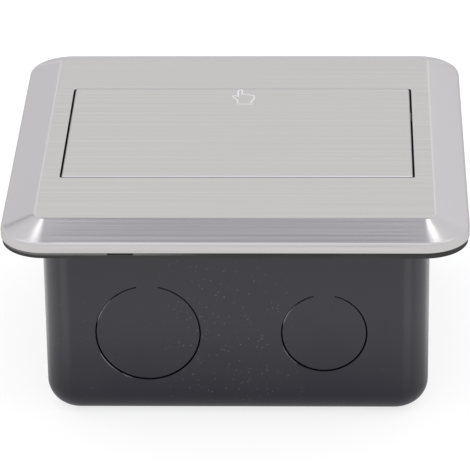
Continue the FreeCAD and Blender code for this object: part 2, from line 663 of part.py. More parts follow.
def hinge_bush():
    sleeve = rod_x(EAR_INNER, EAR_OUTER, HINGE_Y, HINGE_Z, BUSH_RADIUS)
    flange = rod_x(EAR_OUTER, EAR_OUTER + BUSH_FLANGE, HINGE_Y, HINGE_Z, BUSH_FLANGE_RADIUS)
    bore = rod_x(EAR_INNER, EAR_OUTER + BUSH_FLANGE, HINGE_Y, HINGE_Z, HINGE_PIN_RADIUS + RUNNING)
    return sleeve.fuse(flange).cut(bore).removeSplitter()


# Every piece by name, with the paired ones mirrored to the left
pieces = {
    "face_plate": face_plate(),
    "plate_gasket": plate_gasket(),
    "back_box": back_box(),
    "box_lugs": box_lugs(),
    "support_frame": support_frame(),
    "stud_nuts": stud_nuts(),
    "fixing_screws": fixing_screws(),
    "earth_boss": earth_boss(),
    "earth_washer": earth_washer(),
    "earth_screw": earth_screw(),
    "lid": lid(),
    "lid_frame": lid_frame(),
    "lid_retainers": lid_retainers(),
    "lid_buffers": lid_buffers(),
}
paired = {
    "hinge_pin": hinge_pin(),
    "hinge_bush": hinge_bush(),
    "socket_insert": socket_insert(),
    "socket_base": socket_base(),
    "contact_sleeves": contact_sleeves(),
    "earth_strap": earth_strap(),
    "centre_screw": centre_screw(),
    "terminal_screws": terminal_screws(),
}
for name, shape in paired.items():
    pieces[name + "_right"] = shape
    pieces[name + "_left"] = mirrored(shape)

os.makedirs("parts", exist_ok=True)
for name, shape in pieces.items():
    shape.exportStep("parts/" + name + ".step")
    print(name, "solids", len(shape.Solids), "valid", shape.isValid(), "volume", round(shape.Volume, 1))
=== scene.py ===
# %% [markdown]
# # A desk socket box
# The box is let into a desk: a bevelled steel plate lies on the desk top, a steel lid fills its opening,
# and a black steel box hangs below. The measured solids come in first as a fixed frame. Everything
# made here sits where that frame says, so nothing is fitted by eye.

# %% Load the measured solids
import json
import math

import bmesh
import bpy
import numpy as np
from mathutils import Matrix, Vector


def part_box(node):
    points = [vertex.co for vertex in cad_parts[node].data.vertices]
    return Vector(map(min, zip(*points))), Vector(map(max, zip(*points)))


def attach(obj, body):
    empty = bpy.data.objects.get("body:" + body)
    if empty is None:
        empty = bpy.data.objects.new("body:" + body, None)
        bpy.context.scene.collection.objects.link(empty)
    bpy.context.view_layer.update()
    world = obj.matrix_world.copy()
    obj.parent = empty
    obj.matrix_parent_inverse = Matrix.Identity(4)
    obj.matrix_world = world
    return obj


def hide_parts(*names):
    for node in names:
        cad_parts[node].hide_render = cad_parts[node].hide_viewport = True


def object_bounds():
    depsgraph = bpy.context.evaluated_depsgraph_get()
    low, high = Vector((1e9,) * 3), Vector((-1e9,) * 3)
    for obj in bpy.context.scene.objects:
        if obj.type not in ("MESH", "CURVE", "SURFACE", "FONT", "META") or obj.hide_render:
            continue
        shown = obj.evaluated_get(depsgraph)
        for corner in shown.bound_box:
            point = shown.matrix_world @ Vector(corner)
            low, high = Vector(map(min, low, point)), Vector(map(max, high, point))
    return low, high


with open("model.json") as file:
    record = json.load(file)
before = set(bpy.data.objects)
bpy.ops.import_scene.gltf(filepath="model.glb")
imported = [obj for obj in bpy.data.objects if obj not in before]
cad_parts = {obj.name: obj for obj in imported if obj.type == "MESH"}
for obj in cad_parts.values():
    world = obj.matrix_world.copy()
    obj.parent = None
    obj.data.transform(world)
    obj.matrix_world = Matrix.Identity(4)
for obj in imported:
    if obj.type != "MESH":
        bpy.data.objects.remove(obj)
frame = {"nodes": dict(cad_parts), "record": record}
cad_box = [[float(v) for v in corner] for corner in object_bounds()]
MM = 0.001
print("solids:", len(frame["nodes"]), "box in mm:", [round((h - l) / MM, 2) for l, h in zip(*cad_box)])

# %% [markdown]
# ## Writing a finish as arithmetic
# A finish is a small graph of nodes. Wiring each node by hand hides the idea, so a socket is wrapped in a
# class that understands + - * /, and every other node comes from one method. A line such as
# `1 - lines * 0.2` then builds the nodes it reads like.

# %% Sockets that do arithmetic
class Signal:
    """A node's output. Each operator adds one Math node to the same graph."""

    def __init__(self, graph, socket):
        self.graph = graph
        self.socket = socket

    def math(self, operation, *values):
        return self.graph.node("ShaderNodeMath", {"operation": operation}, dict(enumerate(values)))

    def __add__(self, other):
        return self.math("ADD", self, other)

    def __sub__(self, other):
        return self.math("SUBTRACT", self, other)

    def __rsub__(self, other):
        return self.math("SUBTRACT", other, self)

    def __mul__(self, other):
        return self.math("MULTIPLY", self, other)

    def __truediv__(self, other):
        return self.math("DIVIDE", self, other)

    def __abs__(self):
        return self.math("ABSOLUTE", self)

    def larger(self, other):
        return self.math("MAXIMUM", self, other)

    def smaller(self, other):
        return self.math("MINIMUM", self, other)

    __radd__ = __add__
    __rmul__ = __mul__


class Graph:
    """A node graph that is written as expressions."""

    def __init__(self, tree):
        self.tree = tree
        tree.nodes.clear()

    def node(self, kind, settings=None, sockets=None, output=0):
        """One node: its settings first, then a value or a link for each socket, and the output asked for."""
        made = self.tree.nodes.new(kind)
        for name, value in (settings or {}).items():
            if name == "stops":
                self.set_stops(made.color_ramp, value)
            else:
                setattr(made, name, value)
        for name, value in (sockets or {}).items():
            if isinstance(value, Signal):
                self.tree.links.new(value.socket, made.inputs[name])
            else:
                made.inputs[name].default_value = value
        return Signal(self, made.outputs[output]) if len(made.outputs) else made

    def set_stops(self, ramp, stops):
        """Colour ramp stops as (place, grey level)."""
        while len(ramp.elements) < len(stops):
            ramp.elements.new(1.0)
        for element, (place, level) in zip(ramp.elements, stops):
            element.position = place
            element.color = (level, level, level, 1.0)

    def colour_mix(self, factor, first, second):
        """Colour between two colours, since a Math node would turn it grey."""
        return self.node("ShaderNodeMix", {"data_type": "RGBA"}, {0: factor, 6: first, 7: second}, 2)

    def split(self, vector):
        """The three parts of a vector as signals."""
        return [self.node("ShaderNodeSeparateXYZ", {}, {0: vector}, part) for part in range(3)]

    def place(self, scale=(1.0, 1.0, 1.0), offset=(0.0, 0.0, 0.0)):
        """Object coordinates, stretched and moved."""
        point = self.node("ShaderNodeTexCoord", {}, {}, "Object")
        settings = {"operation": "MULTIPLY_ADD"}
        return self.node("ShaderNodeVectorMath", settings, {0: point, 1: scale, 2: offset})

    def noise(self, point, scale, detail=2.0, roughness=0.5):
        sockets = {"Vector": point, "Scale": scale, "Detail": detail, "Roughness": roughness}
        return self.node("ShaderNodeTexNoise", {}, sockets)

    def ramp(self, value, low, high):
        """0 below low, 1 above high, smooth between."""
        settings = {"interpolation_type": "SMOOTHSTEP"}
        return self.node("ShaderNodeMapRange", settings, {"Value": value, "From Min": low, "From Max": high})

    def bump(self, height, depth, strength=1.0):
        sockets = {"Strength": strength, "Distance": depth, "Height": height}
        return self.node("ShaderNodeBump", {}, sockets)


def grey(level, warmth=0.0):
    """Opaque grey, a little redder or bluer."""
    return (level * (1 + warmth), level, level * (1 - warmth), 1.0)


def finish(name, recipe):
    """Material whose recipe fills the sockets of one Principled shader."""
    material = bpy.data.materials.new(name)
    material.use_nodes = True
    graph = Graph(material.node_tree)
    shader = graph.node("ShaderNodeBsdfPrincipled", {}, recipe(graph))
    graph.node("ShaderNodeOutputMaterial", {}, {"Surface": shader})
    return material


print("finish writer ready")

# %% [markdown]
# ## Brushed stainless steel
# The sheet was brushed along the plate's width before it was pressed, so the lines run along X, and down
# the rim they follow the sheet as it bends. Each line is told from its neighbour by one number, the place
# across the sheet, and noise stretched several hundred times along X gives lines of a believable length.
# They change the gloss and the height a little and the colour hardly at all, because steel shows its
# brushing by how it smears what it reflects. The slopes at front and back were dressed again along their
# length, so lines are plainest there, and the slopes at the sides, across the lines, were rubbed smooth.
# Seen almost edge-on, steel mirrors less than the plain rule for metals says, which the specular tint
# puts right.

# %% Steel
BEVEL_DROP = 3.2
RIM_HEIGHT = 2.5
RIM_TOP_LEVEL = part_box("face_plate")[1][2] - BEVEL_DROP * MM
SLOPE_START = 0.0505
SLOPE_SURE = 0.0517
CORNER_START = 0.041
CORNER_SURE = 0.049


def brushed_stainless(graph):
    x, y, z = graph.split(graph.place())
    across = y + (z - RIM_TOP_LEVEL).smaller(0.0)
    fine = graph.noise(graph.node("ShaderNodeCombineXYZ", {}, {0: x * 14.0, 1: across * 5600.0}), 1.0, 2.0)
    broad = graph.noise(graph.node("ShaderNodeCombineXYZ", {}, {0: x * 5.0, 1: across * 1200.0}), 1.0, 1.0)
    handling_and_sheen = graph.noise(graph.place((22.0, 22.0, 22.0), (0.4, 0.8, 0.1)), 1.0, 2.0)
    lines = fine * 0.5 + broad * 0.5
    sideways = abs(x)
    long_slope = graph.ramp(abs(y), SLOPE_START, SLOPE_SURE)
    side_slope = graph.ramp(sideways, SLOPE_START, SLOPE_SURE)
    corner = long_slope * graph.ramp(sideways, CORNER_START, CORNER_SURE)
    dressed = long_slope - corner
    rubbed = side_slope.larger(corner)
    plainness = 0.36 + dressed * 0.64 - rubbed * 0.26
    shade = 0.5 + (graph.ramp(lines, 0.3, 0.7) - 0.5) * plainness
    return {
        "Base Color": graph.colour_mix(shade, (0.480, 0.461, 0.458, 1.0), (0.604, 0.582, 0.578, 1.0)),
        "Metallic": 1.0,
        "Specular Tint": (0.74, 0.74, 0.76, 1.0),
        "Roughness": 0.13 + lines * 0.08 + handling_and_sheen * 0.04,
        "Normal": graph.bump(lines, 0.00001, 0.6),
    }


# %% [markdown]
# ## Black paint on drawn steel
# The box was drawn from sheet and sprayed satin black. Its gloss coat is made thinner toward the bottom, a
# painted shade that darkens the lower walls. Paint levels into a faint orange peel, and dust that settled in
# it while wet shows as fine pale specks, thickest between the two knockouts. A speck is the small middle of a
# Voronoi cell. Each cell draws a lot, and its speck stays where the lot, the crowd and a slower noise
# together are high enough. A narrow band where each wall starts to turn into the upright corner is glossier,
# a painted highlight.

# %% Paint
PAINT_BLACK = (0.0098, 0.0098, 0.0170, 1.0)
DUST_MIDDLE = -0.001
DUST_CROWD = 0.007
DUST_REACH = 0.023
# Painted highlight: the glossier band lies this far in from each side of the box.
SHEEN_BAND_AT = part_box("back_box")[1][0] - 0.0058
SHEEN_BAND_HALF = 0.0009
# Where the painted sheen band starts and ends to fade, in half-widths.
SHEEN_BAND_FADE = (0.3, 1.7)


def black_paint(graph):
    x, y, z = graph.split(graph.place())
    peel = graph.noise(graph.place((1100.0, 1100.0, 1100.0)), 1.0, 3.0)
    wear_and_shade_noise = graph.noise(graph.place((60.0, 60.0, 60.0)), 1.0, 3.0)
    gathered = graph.noise(graph.place((40.0, 40.0, 40.0), (0.35, 0.2, 0.6)), 1.0, 2.0)
    cells = {"Vector": graph.place(), "Scale": 820.0}
    from_middle = graph.node("ShaderNodeTexVoronoi", {}, cells)
    lot = graph.split(graph.node("ShaderNodeTexVoronoi", {}, cells, "Color"))[0]
    crowd = 1 - graph.ramp(abs(x - DUST_MIDDLE), DUST_CROWD, DUST_REACH)
    kept = graph.ramp(lot * 0.5 + crowd * 0.45 + gathered * 0.5, 0.66, 0.95)
    speck = (1 - graph.ramp(from_middle, 0.07, 0.19)) * kept
    # Painted highlight: a narrow glossier band where each wall turns into its upright corner.
    inward = abs(x).smaller(abs(y))
    off_band = abs(inward - SHEEN_BAND_AT)
    handling_and_sheen = 1 - graph.ramp(off_band / SHEEN_BAND_HALF, *SHEEN_BAND_FADE)
    # Coat weight: thinner toward the bottom as painted shade, and thicker in the corner bands as a painted
    # highlight.
    coat = 0.02 + graph.ramp(z + wear_and_shade_noise * 0.01, 0.004, 0.036) * (0.6 + handling_and_sheen * 0.34)
    return {
        "Base Color": graph.colour_mix(speck * 0.36, PAINT_BLACK, grey(0.24)),
        "Roughness": 0.4 + wear_and_shade_noise * 0.1 + speck * 0.3,
        "Specular IOR Level": 0.3,
        "Coat Weight": coat,
        "Coat Roughness": 0.24,
        "Normal": graph.bump(peel, 0.00004, 0.35),
    }


# %% [markdown]
# ## Painted glints on the burrs
# The burrs round the knockouts get the same black, with pale patches of a slow noise painted on as
# highlights, the glints of the cut's edges. A patch keeps a soft border.

# %% Painted glints
def burr_glint_paint(graph):
    """The same black, with pale patches painted on as the glints of the edges."""
    patches = graph.noise(graph.place((130.0, 130.0, 130.0), (0.2, 0.5, 0.9)), 1.0, 4.0, 0.6)
    glint = graph.ramp(patches, 0.38, 0.6)
    return {
        "Base Color": graph.colour_mix(glint, PAINT_BLACK, grey(0.17)),
        "Roughness": 0.4 + patches * 0.2,
        "Specular IOR Level": 0.3,
        "Normal": graph.bump(patches, 0.00003, 0.4),
    }


# %% [markdown]
# ## The other finishes
# Foam and rubber are matt and grainy, mouldings have a spark-eroded satin, turned and plated metal is
# smooth with faint turning marks. One recipe with a few numbers covers each family.

# %% Foam, mouldings and small metal
def grainy(colour, roughness, grain_scale, grain_depth, mottle=0.25):
    """Matt or satin stuff: fine grain in height, slow mottling in colour."""
    def recipe(graph):
        grain = graph.noise(graph.place(), grain_scale, 3.0)
        slow = graph.noise(graph.place(offset=(0.3, 0.1, 0.7)), 90.0, 2.0)
        darker = tuple(c * (1 - mottle) for c in colour[:3]) + (1.0,)
        return {
            "Base Color": graph.colour_mix(graph.ramp(slow * 0.6 + grain * 0.4, 0.3, 0.7), darker, colour),
            "Roughness": roughness + grain * 0.12 - 0.06,
            "Normal": graph.bump(grain, grain_depth, 0.4),
        }
    return recipe


def plated(colour, roughness):
    """Plated or turned metal: a clean colour with slight smears in its gloss."""
    def recipe(graph):
        smear = graph.noise(graph.place((300.0, 300.0, 900.0)), 1.0, 3.0)
        darker = tuple(c * 0.82 for c in colour[:3]) + (1.0,)
        return {
            "Base Color": graph.colour_mix(smear, darker, colour),
            "Metallic": 1.0,
            "Roughness": roughness + smear * 0.14 - 0.07,
            "Normal": graph.bump(smear, 0.00001, 0.3),
        }
    return recipe


PALE_BAND_BELOW_RIM = 0.0009
PALE_BAND_FROM = -0.024
PALE_BAND_TO = 0.004


def gasket_foam(graph):
    """Black foam, paler along its top toward the left."""
    x, _, z = graph.split(graph.place())
    grain = graph.noise(graph.place(), 2600.0, 3.0)
    slow = graph.noise(graph.place(offset=(0.3, 0.1, 0.7)), 90.0, 2.0)
    # A paler band along the foam's top, fading out toward the right.
    pale_band_low = RIM_TOP_LEVEL - RIM_HEIGHT * MM - PALE_BAND_BELOW_RIM
    pale_band = graph.ramp(z + grain * 0.0002, pale_band_low, pale_band_low + 0.0004)
    shown = pale_band * (1 - graph.ramp(x + slow * 0.01, PALE_BAND_FROM, PALE_BAND_TO))
    mottle = graph.ramp(slow * 0.4 + grain * 0.6, 0.3, 0.7)
    foam = graph.colour_mix(mottle, grey(0.021, 0.05), grey(0.040, 0.05))
    return {
        "Base Color": graph.colour_mix(shown, foam, grey(0.15)),
        "Roughness": 0.84 + grain * 0.12,
        "Normal": graph.bump(grain, 0.00012, 0.4),
    }


recipes = {
    "brushed_stainless": brushed_stainless,
    "black_paint": black_paint,
    "burr_glint_paint": burr_glint_paint,
    "gasket_foam": gasket_foam,
    "dark_plastic": grainy((0.030, 0.030, 0.032, 1.0), 0.5, 4200.0, 0.00002),
    "zinc_steel": plated((0.66, 0.66, 0.63, 1.0), 0.3),
    "spring_steel": plated((0.60, 0.585, 0.56, 1.0), 0.24),
    # Painted shade: hinge steel is drawn near black, not bright ground steel, so the pins seen in the side
    # gaps stay as dark as the gaps.
    "hinge_steel": plated((0.14, 0.14, 0.15, 1.0), 0.34),
    "brass": plated((0.78, 0.57, 0.25, 1.0), 0.26),
    "buffer_rubber": grainy((0.026, 0.026, 0.027, 1.0), 0.8, 3000.0, 0.00005),
    "bush_acetal": grainy((0.78, 0.77, 0.72, 1.0), 0.42, 3500.0, 0.00002, 0.06),
    "socket_plastic": grainy((0.80, 0.80, 0.78, 1.0), 0.3, 5200.0, 0.00001, 0.03),
    "print_white": grainy((0.70, 0.70, 0.69, 1.0), 0.6, 5200.0, 0.000005, 0.03),
    "base_plastic": grainy((0.50, 0.50, 0.48, 1.0), 0.5, 3600.0, 0.00002, 0.1),
}
finishes = {name: finish(name, recipe) for name, recipe in recipes.items()}
print("finishes:", ", ".join(finishes))

# %% [markdown]
# ## Surfaces as arrays
# A pressed or rolled part is a section carried round a path. Each path here is a rounded rectangle, kept
# as a centre line and an outward direction: a point at inset u is centre + (radius - u) * outward. Moving
# in from the edge then keeps corners round and sides straight, which is how a bevel stays even.

# %% Paths, sections and meshes
CORNER_STEPS = 24
SIDE_STEPS = 12


def rounded_rectangle(half_x, half_y, radius, middle_y=0.0):
    """Centre line and outward direction of a rounded rectangle, anticlockwise from the right side.

    Each corner turns the direction by a quarter while the centre stays. Each side moves the centre while
    the direction stays."""
    turn = np.linspace(0.0, 0.5 * np.pi, CORNER_STEPS)
    corner_x = np.array([1, -1, -1, 1]) * (half_x - radius)
    corner_y = np.array([1, 1, -1, -1]) * (half_y - radius)
    angles = turn[None, :] + 0.5 * np.pi * np.arange(4)[:, None]
    along = np.linspace(0.0, 1.0, SIDE_STEPS + 1)[1:-1]
    next_x, next_y = np.roll(corner_x, -1), np.roll(corner_y, -1)
    side_x = corner_x[:, None] + (next_x - corner_x)[:, None] * along
    side_y = corner_y[:, None] + (next_y - corner_y)[:, None] * along
    side_angles = np.repeat(angles[:, -1:], along.size, axis=1)
    centre_x = np.concatenate([np.repeat(corner_x[:, None], CORNER_STEPS, axis=1), side_x], axis=1).ravel()
    centre_y = np.concatenate([np.repeat(corner_y[:, None], CORNER_STEPS, axis=1), side_y], axis=1).ravel()
    facing = np.concatenate([angles, side_angles], axis=1).ravel()
    centre = np.stack([centre_x, centre_y + middle_y], axis=1)
    return centre, np.stack([np.cos(facing), np.sin(facing)], axis=1)


def carried(path, radius, inset, height):
    """Section points (inset, height) carried round a path: centre + (radius - inset) * outward."""
    centre, outward = path
    flat = centre[:, None, :] + (radius - inset)[None, :, None] * outward[:, None, :]
    level = np.broadcast_to(height[None, :, None], flat.shape[:2] + (1,))
    return np.concatenate([flat, level], axis=2)


def rounded_section(corners, steps=8):
    """Open line through (inset, height, rounding) corners, each rounded by an arc tangent to both sides."""
    points = []
    for index, (u, z, rounding) in enumerate(corners):
        here = np.array([u, z])
        if rounding == 0:
            points.append(here[None, :])
            continue
        back = np.array(corners[index - 1][:2]) - here
        ahead = np.array(corners[index + 1][:2]) - here
        back = back / np.linalg.norm(back)
        ahead = ahead / np.linalg.norm(ahead)
        half_angle = 0.5 * np.arccos(np.dot(back, ahead))
        inward = (back + ahead) / np.linalg.norm(back + ahead)
        middle = here + inward * rounding / np.sin(half_angle)
        first = here + back * rounding / np.tan(half_angle) - middle
        last = here + ahead * rounding / np.tan(half_angle) - middle
        sweep = np.arccos(np.clip(np.dot(first, last) / rounding ** 2, -1, 1))
        share = np.linspace(0.0, 1.0, steps)[:, None]
        arc = (np.sin((1 - share) * sweep) * first + np.sin(share * sweep) * last) / np.sin(sweep)
        points.append(middle + arc)
    return np.concatenate(points)


def grid_faces(rows, columns, wrap_columns):
    """Four-cornered faces between neighbouring grid points. Rows close up, columns only if asked."""
    r = np.arange(rows)[:, None]
    c = np.arange(columns if wrap_columns else columns - 1)[None, :]
    r_next, c_next = (r + 1) % rows, (c + 1) % columns
    corners = [r * columns + c, r_next * columns + c, r_next * columns + c_next, r * columns + c_next]
    return np.stack([np.broadcast_to(k, (r.size, c.size)) for k in corners], axis=2).reshape(-1, 4)


def piece(name, points, slot, body, wrap_columns=True, caps=False):
    """Mesh object from a grid of points in millimetres, riding on a body of the frame.

    All faces are turned to the outside once the mesh is closed."""
    rows, columns = points.shape[:2]
    flat = points.reshape(-1, 3) * MM
    faces = grid_faces(rows, columns, wrap_columns).tolist()
    if caps:
        ring = np.arange(rows) * columns
        faces += [ring[::-1].tolist(), (ring + columns - 1).tolist()]
    mesh = bpy.data.meshes.new(name)
    mesh.from_pydata(flat.tolist(), [], faces)
    work = bmesh.new()
    work.from_mesh(mesh)
    bmesh.ops.recalc_face_normals(work, faces=work.faces)
    work.to_mesh(mesh)
    work.free()
    return dress(name, mesh, slot, body)


def merged_copy(node):
    """Fresh mesh of a solid: its loose triangles with equal points made one, and none that lost its area."""
    source = frame["nodes"][node].data
    points = np.empty(3 * len(source.vertices))
    source.vertices.foreach_get("co", points)
    corners = np.empty(len(source.loops), dtype=int)
    source.loops.foreach_get("vertex_index", corners)
    unique, index = np.unique(points.reshape(-1, 3).round(7), axis=0, return_inverse=True)
    faces = index.ravel()[corners].reshape(-1, 3)
    whole = (faces != np.roll(faces, 1, axis=1)).all(axis=1)
    mesh = bpy.data.meshes.new(node)
    mesh.from_pydata(unique.tolist(), [], faces[whole].tolist())
    return mesh


def dress(name, mesh, slot, body, sharp=40.0):
    """Object for a mesh, smooth up to a crease angle, with its finish and its body."""
    mesh.shade_smooth()
    mesh.set_sharp_from_angle(angle=math.radians(sharp))
    mesh.materials.clear()
    mesh.materials.append(finishes[slot])
    thing = bpy.data.objects.new(name, mesh)
    bpy.context.scene.collection.objects.link(thing)
    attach(thing, body)
    return thing


def node_box(name):
    """A solid's lowest and highest corner in millimetres."""
    return [np.array(corner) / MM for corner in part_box(name)]


print("points round a path:", len(rounded_rectangle(1.0, 1.0, 0.2)[0]))

# %% [markdown]
# ## The face plate
# A steel sheet pressed into a shallow tray, with a broad bevel, a short upright rim and a rectangular
# opening. A cube with a bevel would give the corners the wrong shape: on a pressing the bevel turns the
# corner as part of a cone. So the section is carried round two paths, the outer outline and the opening:
# the slopes and the underside round the outline, the opening's edge round the opening, with faces between.

# %% Face plate
plate_high = node_box("face_plate")[1]
lid_low, lid_high = node_box("lid")

PLATE_HALF = plate_high[0]
LID_TOP = lid_high[2]
PLATE_TOP = plate_high[2]
SHEET = 1.5
RIDGE_CORNER = 3.0
BEVEL_RUN = 8.8
RIM_ROUNDING = 1.2
RIDGE_ROUNDING = 3.5
EDGE_ROUNDING = 0.25
# The lid rests toward the front of its opening, so the opening is drawn this much further back.
OPENING_SHIFT = 0.22
# The flat between the ridge and the opening runs from a corner of this radius to this far off the opening.
FLAT_CORNER = 0.5
FLAT_MARGIN = 1.0
LID_GAP = 0.45
LID_CORNER = 0.6
UNDERSIDE = PLATE_TOP - SHEET
RIM_TOP = PLATE_TOP - BEVEL_DROP
RIM_BOTTOM = RIM_TOP - RIM_HEIGHT
CORNER = RIDGE_CORNER + BEVEL_RUN
OPENING_HALF_X = lid_high[0] + LID_GAP
OPENING_HALF_Y = (lid_high[1] - lid_low[1]) / 2 + LID_GAP
OPENING_MIDDLE = (lid_high[1] + lid_low[1]) / 2


def face_plate():
    slope = math.atan2(BEVEL_DROP, BEVEL_RUN)
    outer_path = rounded_rectangle(PLATE_HALF, PLATE_HALF, CORNER)
    middle = OPENING_MIDDLE + OPENING_SHIFT
    opening_path = rounded_rectangle(OPENING_HALF_X, OPENING_HALF_Y, LID_CORNER, middle)
    outside = rounded_section([
        (0.0, RIM_BOTTOM, 0.0),
        (0.0, RIM_TOP, RIM_ROUNDING),
        (BEVEL_RUN, PLATE_TOP, RIDGE_ROUNDING),
        (CORNER - FLAT_CORNER, PLATE_TOP, 0.0),
    ])
    edge = rounded_section([
        (-FLAT_MARGIN, PLATE_TOP, 0.0),
        (0.0, PLATE_TOP, EDGE_ROUNDING),
        (0.0, UNDERSIDE, 0.0),
    ])
    underside = rounded_section([
        (BEVEL_RUN + SHEET * math.tan(slope / 2), UNDERSIDE, 0.0),
        (SHEET, RIM_TOP - SHEET * (1 / math.cos(slope) - math.tan(slope)), 0.0),
        (SHEET, RIM_BOTTOM, 0.0),
    ])
    grids = [
        carried(outer_path, CORNER, outside[:, 0], outside[:, 1]),
        carried(opening_path, LID_CORNER, edge[:, 0], edge[:, 1]),
        carried(outer_path, CORNER, underside[:, 0], underside[:, 1]),
    ]
    return np.concatenate(grids, axis=1)


plate = piece("face_plate_sheet", face_plate(), "brushed_stainless", "housing")
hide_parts("face_plate")
print("face plate faces:", len(plate.data.polygons))

# %% [markdown]
# ## Studs and pins of the sheets
# Threaded studs are welded under the plate and plain pins under the lid. Each is a turned post with a
# broken end: a half section carried round a circle.

# %% Studs and pins
POST_STEPS = 24
BROKEN_END = 0.3
AXIS_RADIUS = 0.02


def turned_post(x, y, low, high, radius):
    """Half section (radius, height) carried round a circle: x + r cos a, y + r sin a, z."""
    section = np.array([
        (AXIS_RADIUS, low),
        (radius - BROKEN_END, low),
        (radius, low + BROKEN_END),
        (radius, high),
        (AXIS_RADIUS, high),
    ])
    angle = np.linspace(0.0, 2 * np.pi, POST_STEPS, endpoint=False)[:, None]
    reach = section[None, :, 0]
    height = np.broadcast_to(section[None, :, 1], (POST_STEPS, len(section)))
    return np.stack([x + reach * np.cos(angle), y + reach * np.sin(angle), height], axis=2)


def posts(name, places, high, length, radius, body):
    """One welded steel post at each place, hanging from a height."""
    for number, (x, y) in enumerate(places, 1):
        grid = turned_post(x, y, high - length, high, radius)
        piece(f"{name}_{number}", grid, "brushed_stainless", body, wrap_columns=False, caps=True)


STUD_LENGTH = 5.2
STUD_RADIUS = 1.5
NUT_ACROSS_FLATS = 5.5
stud_reach = node_box("stud_nuts")[1][0] - NUT_ACROSS_FLATS / math.sqrt(3)
stud_places = [(stud_reach * a, stud_reach * b) for a in (-1, 1) for b in (-1, 1)]
posts("plate_stud", stud_places, UNDERSIDE, STUD_LENGTH, STUD_RADIUS, "housing")

PIN_LENGTH = 2.2
PIN_RADIUS = 1.2
RETAINER_RADIUS = 3.0
LID_UNDERSIDE = LID_TOP - SHEET
ring_low, ring_high = node_box("lid_retainers")
pin_rows = (ring_low[1] + RETAINER_RADIUS, ring_high[1] - RETAINER_RADIUS)
pin_places = [((ring_high[0] - RETAINER_RADIUS) * a, b) for a in (-1, 1) for b in pin_rows]
posts("lid_pin", pin_places, LID_UNDERSIDE, PIN_LENGTH, PIN_RADIUS, "lid")
print("studs at", np.round(stud_places[-1], 2), "pins at", np.round(pin_places[-1], 2))

# %% [markdown]
# ## The lid
# A flat cut sheet that stands a quarter of a millimetre proud of the plate. Its upper edge is chamfered, so
# the front edge catches a thin line of light and the back edge hides the gap behind it. Its outline is the
# opening's, drawn in by the gap. The print on it is a few hundredths of a millimetre thick, and the sheet
# is drawn that much lower so that the whole lid still has its measured height.

# %% Lid
LID_CHAMFER = 0.32
CHAMFER_ROUNDING = 0.08
LOWER_BREAK_IN = 0.3
LOWER_BREAK_UP = 0.1
CAP_CORNER = 0.05
PRINT_HEIGHT = 0.02


def lid_sheet():
    half_y = (lid_high[1] - lid_low[1]) / 2
    path = rounded_rectangle(lid_high[0], half_y, LID_CORNER, OPENING_MIDDLE)
    section = rounded_section([
        (LOWER_BREAK_IN, LID_UNDERSIDE, 0.0),
        (0.0, LID_UNDERSIDE + LOWER_BREAK_UP, 0.0),
        (0.0, LID_TOP - PRINT_HEIGHT - LID_CHAMFER, CHAMFER_ROUNDING),
        (LID_CHAMFER, LID_TOP - PRINT_HEIGHT, CHAMFER_ROUNDING),
        (LID_CORNER - CAP_CORNER, LID_TOP - PRINT_HEIGHT, 0.0),
    ])
    return carried(path, LID_CORNER, section[:, 0], section[:, 1])


lid = piece("lid_sheet", lid_sheet(), "brushed_stainless", "lid", wrap_columns=False, caps=True)
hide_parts("lid")
print("lid faces:", len(lid.data.polygons))

# %% [markdown]
# ## The press-here sign
# A small pointing hand is printed in white at the back of the lid, where the user presses the tail down.
# It is one pen line: a smooth curve through a few points, with a flat ribbon laid along it. Each ribbon
# has a real thickness, so it needs no picture.

# %% Sign
SIGN_MIDDLE = (0.45, 23.9)
PEN_WIDTH = 0.42
HAND_LINE = [
    (-1.5, -4.2), (-1.6, -2.4), (-2.5, -0.7), (-2.9, 0.4), (-2.3, 0.8), (-1.5, -0.2), (-1.5, 1.8),
    (-1.5, 3.9), (-0.95, 4.7), (-0.4, 3.9), (-0.4, 1.4), (0.25, 1.9), (0.8, 1.1), (1.4, 1.6),
    (1.9, 0.7), (2.5, 1.1), (2.9, 0.1), (2.9, -1.4), (2.3, -3.0), (2.3, -4.2),
]
CUFF_LINE = [(-1.9, -4.9), (0.4, -4.9), (2.7, -4.9)]


def smooth_line(points, steps=8):
    """Curve through the points: between each two, a cubic whose slopes are half the chord past them."""
    p = np.array(points)
    slope = np.gradient(p, axis=0)
    t = np.linspace(0.0, 1.0, steps, endpoint=False)[None, :, None]
    start, end = p[:-1, None], p[1:, None]
    leave, arrive = slope[:-1, None], slope[1:, None]
    curve = (
        (2 * t ** 3 - 3 * t ** 2 + 1) * start
        + (t ** 3 - 2 * t ** 2 + t) * leave
        + (3 * t ** 2 - 2 * t ** 3) * end
        + (t ** 3 - t ** 2) * arrive
    )
    return np.concatenate([curve.reshape(-1, 2), p[-1:]])


def ribbon(line, width, low, high):
    """Flat rectangle carried along a line: line +- half the width across it, between two heights."""
    heading = np.gradient(line, axis=0)
    heading = heading / np.linalg.norm(heading, axis=1, keepdims=True)
    across = np.stack([-heading[:, 1], heading[:, 0]], axis=1) * width / 2
    sides = [(line - across, low), (line + across, low), (line + across, high), (line - across, high)]
    return np.stack([np.column_stack([side, np.full(len(side), level)]) for side, level in sides])


for name, line in (("sign_hand", HAND_LINE), ("sign_cuff", CUFF_LINE)):
    strokes = ribbon(smooth_line(line) + SIGN_MIDDLE, PEN_WIDTH, LID_TOP - 2 * PRINT_HEIGHT, LID_TOP)
    stroke = piece(name, strokes, "print_white", "lid", wrap_columns=False, caps=True)
    print(name, "faces:", len(stroke.data.polygons))

# %% [markdown]
# ## The solids that stay
# The drawn box, the mouldings and the small hardware have the right shape already. A copy of each is merged
# into one skin and smoothed up to a crease angle, and takes the finish that the frame's list gives it.

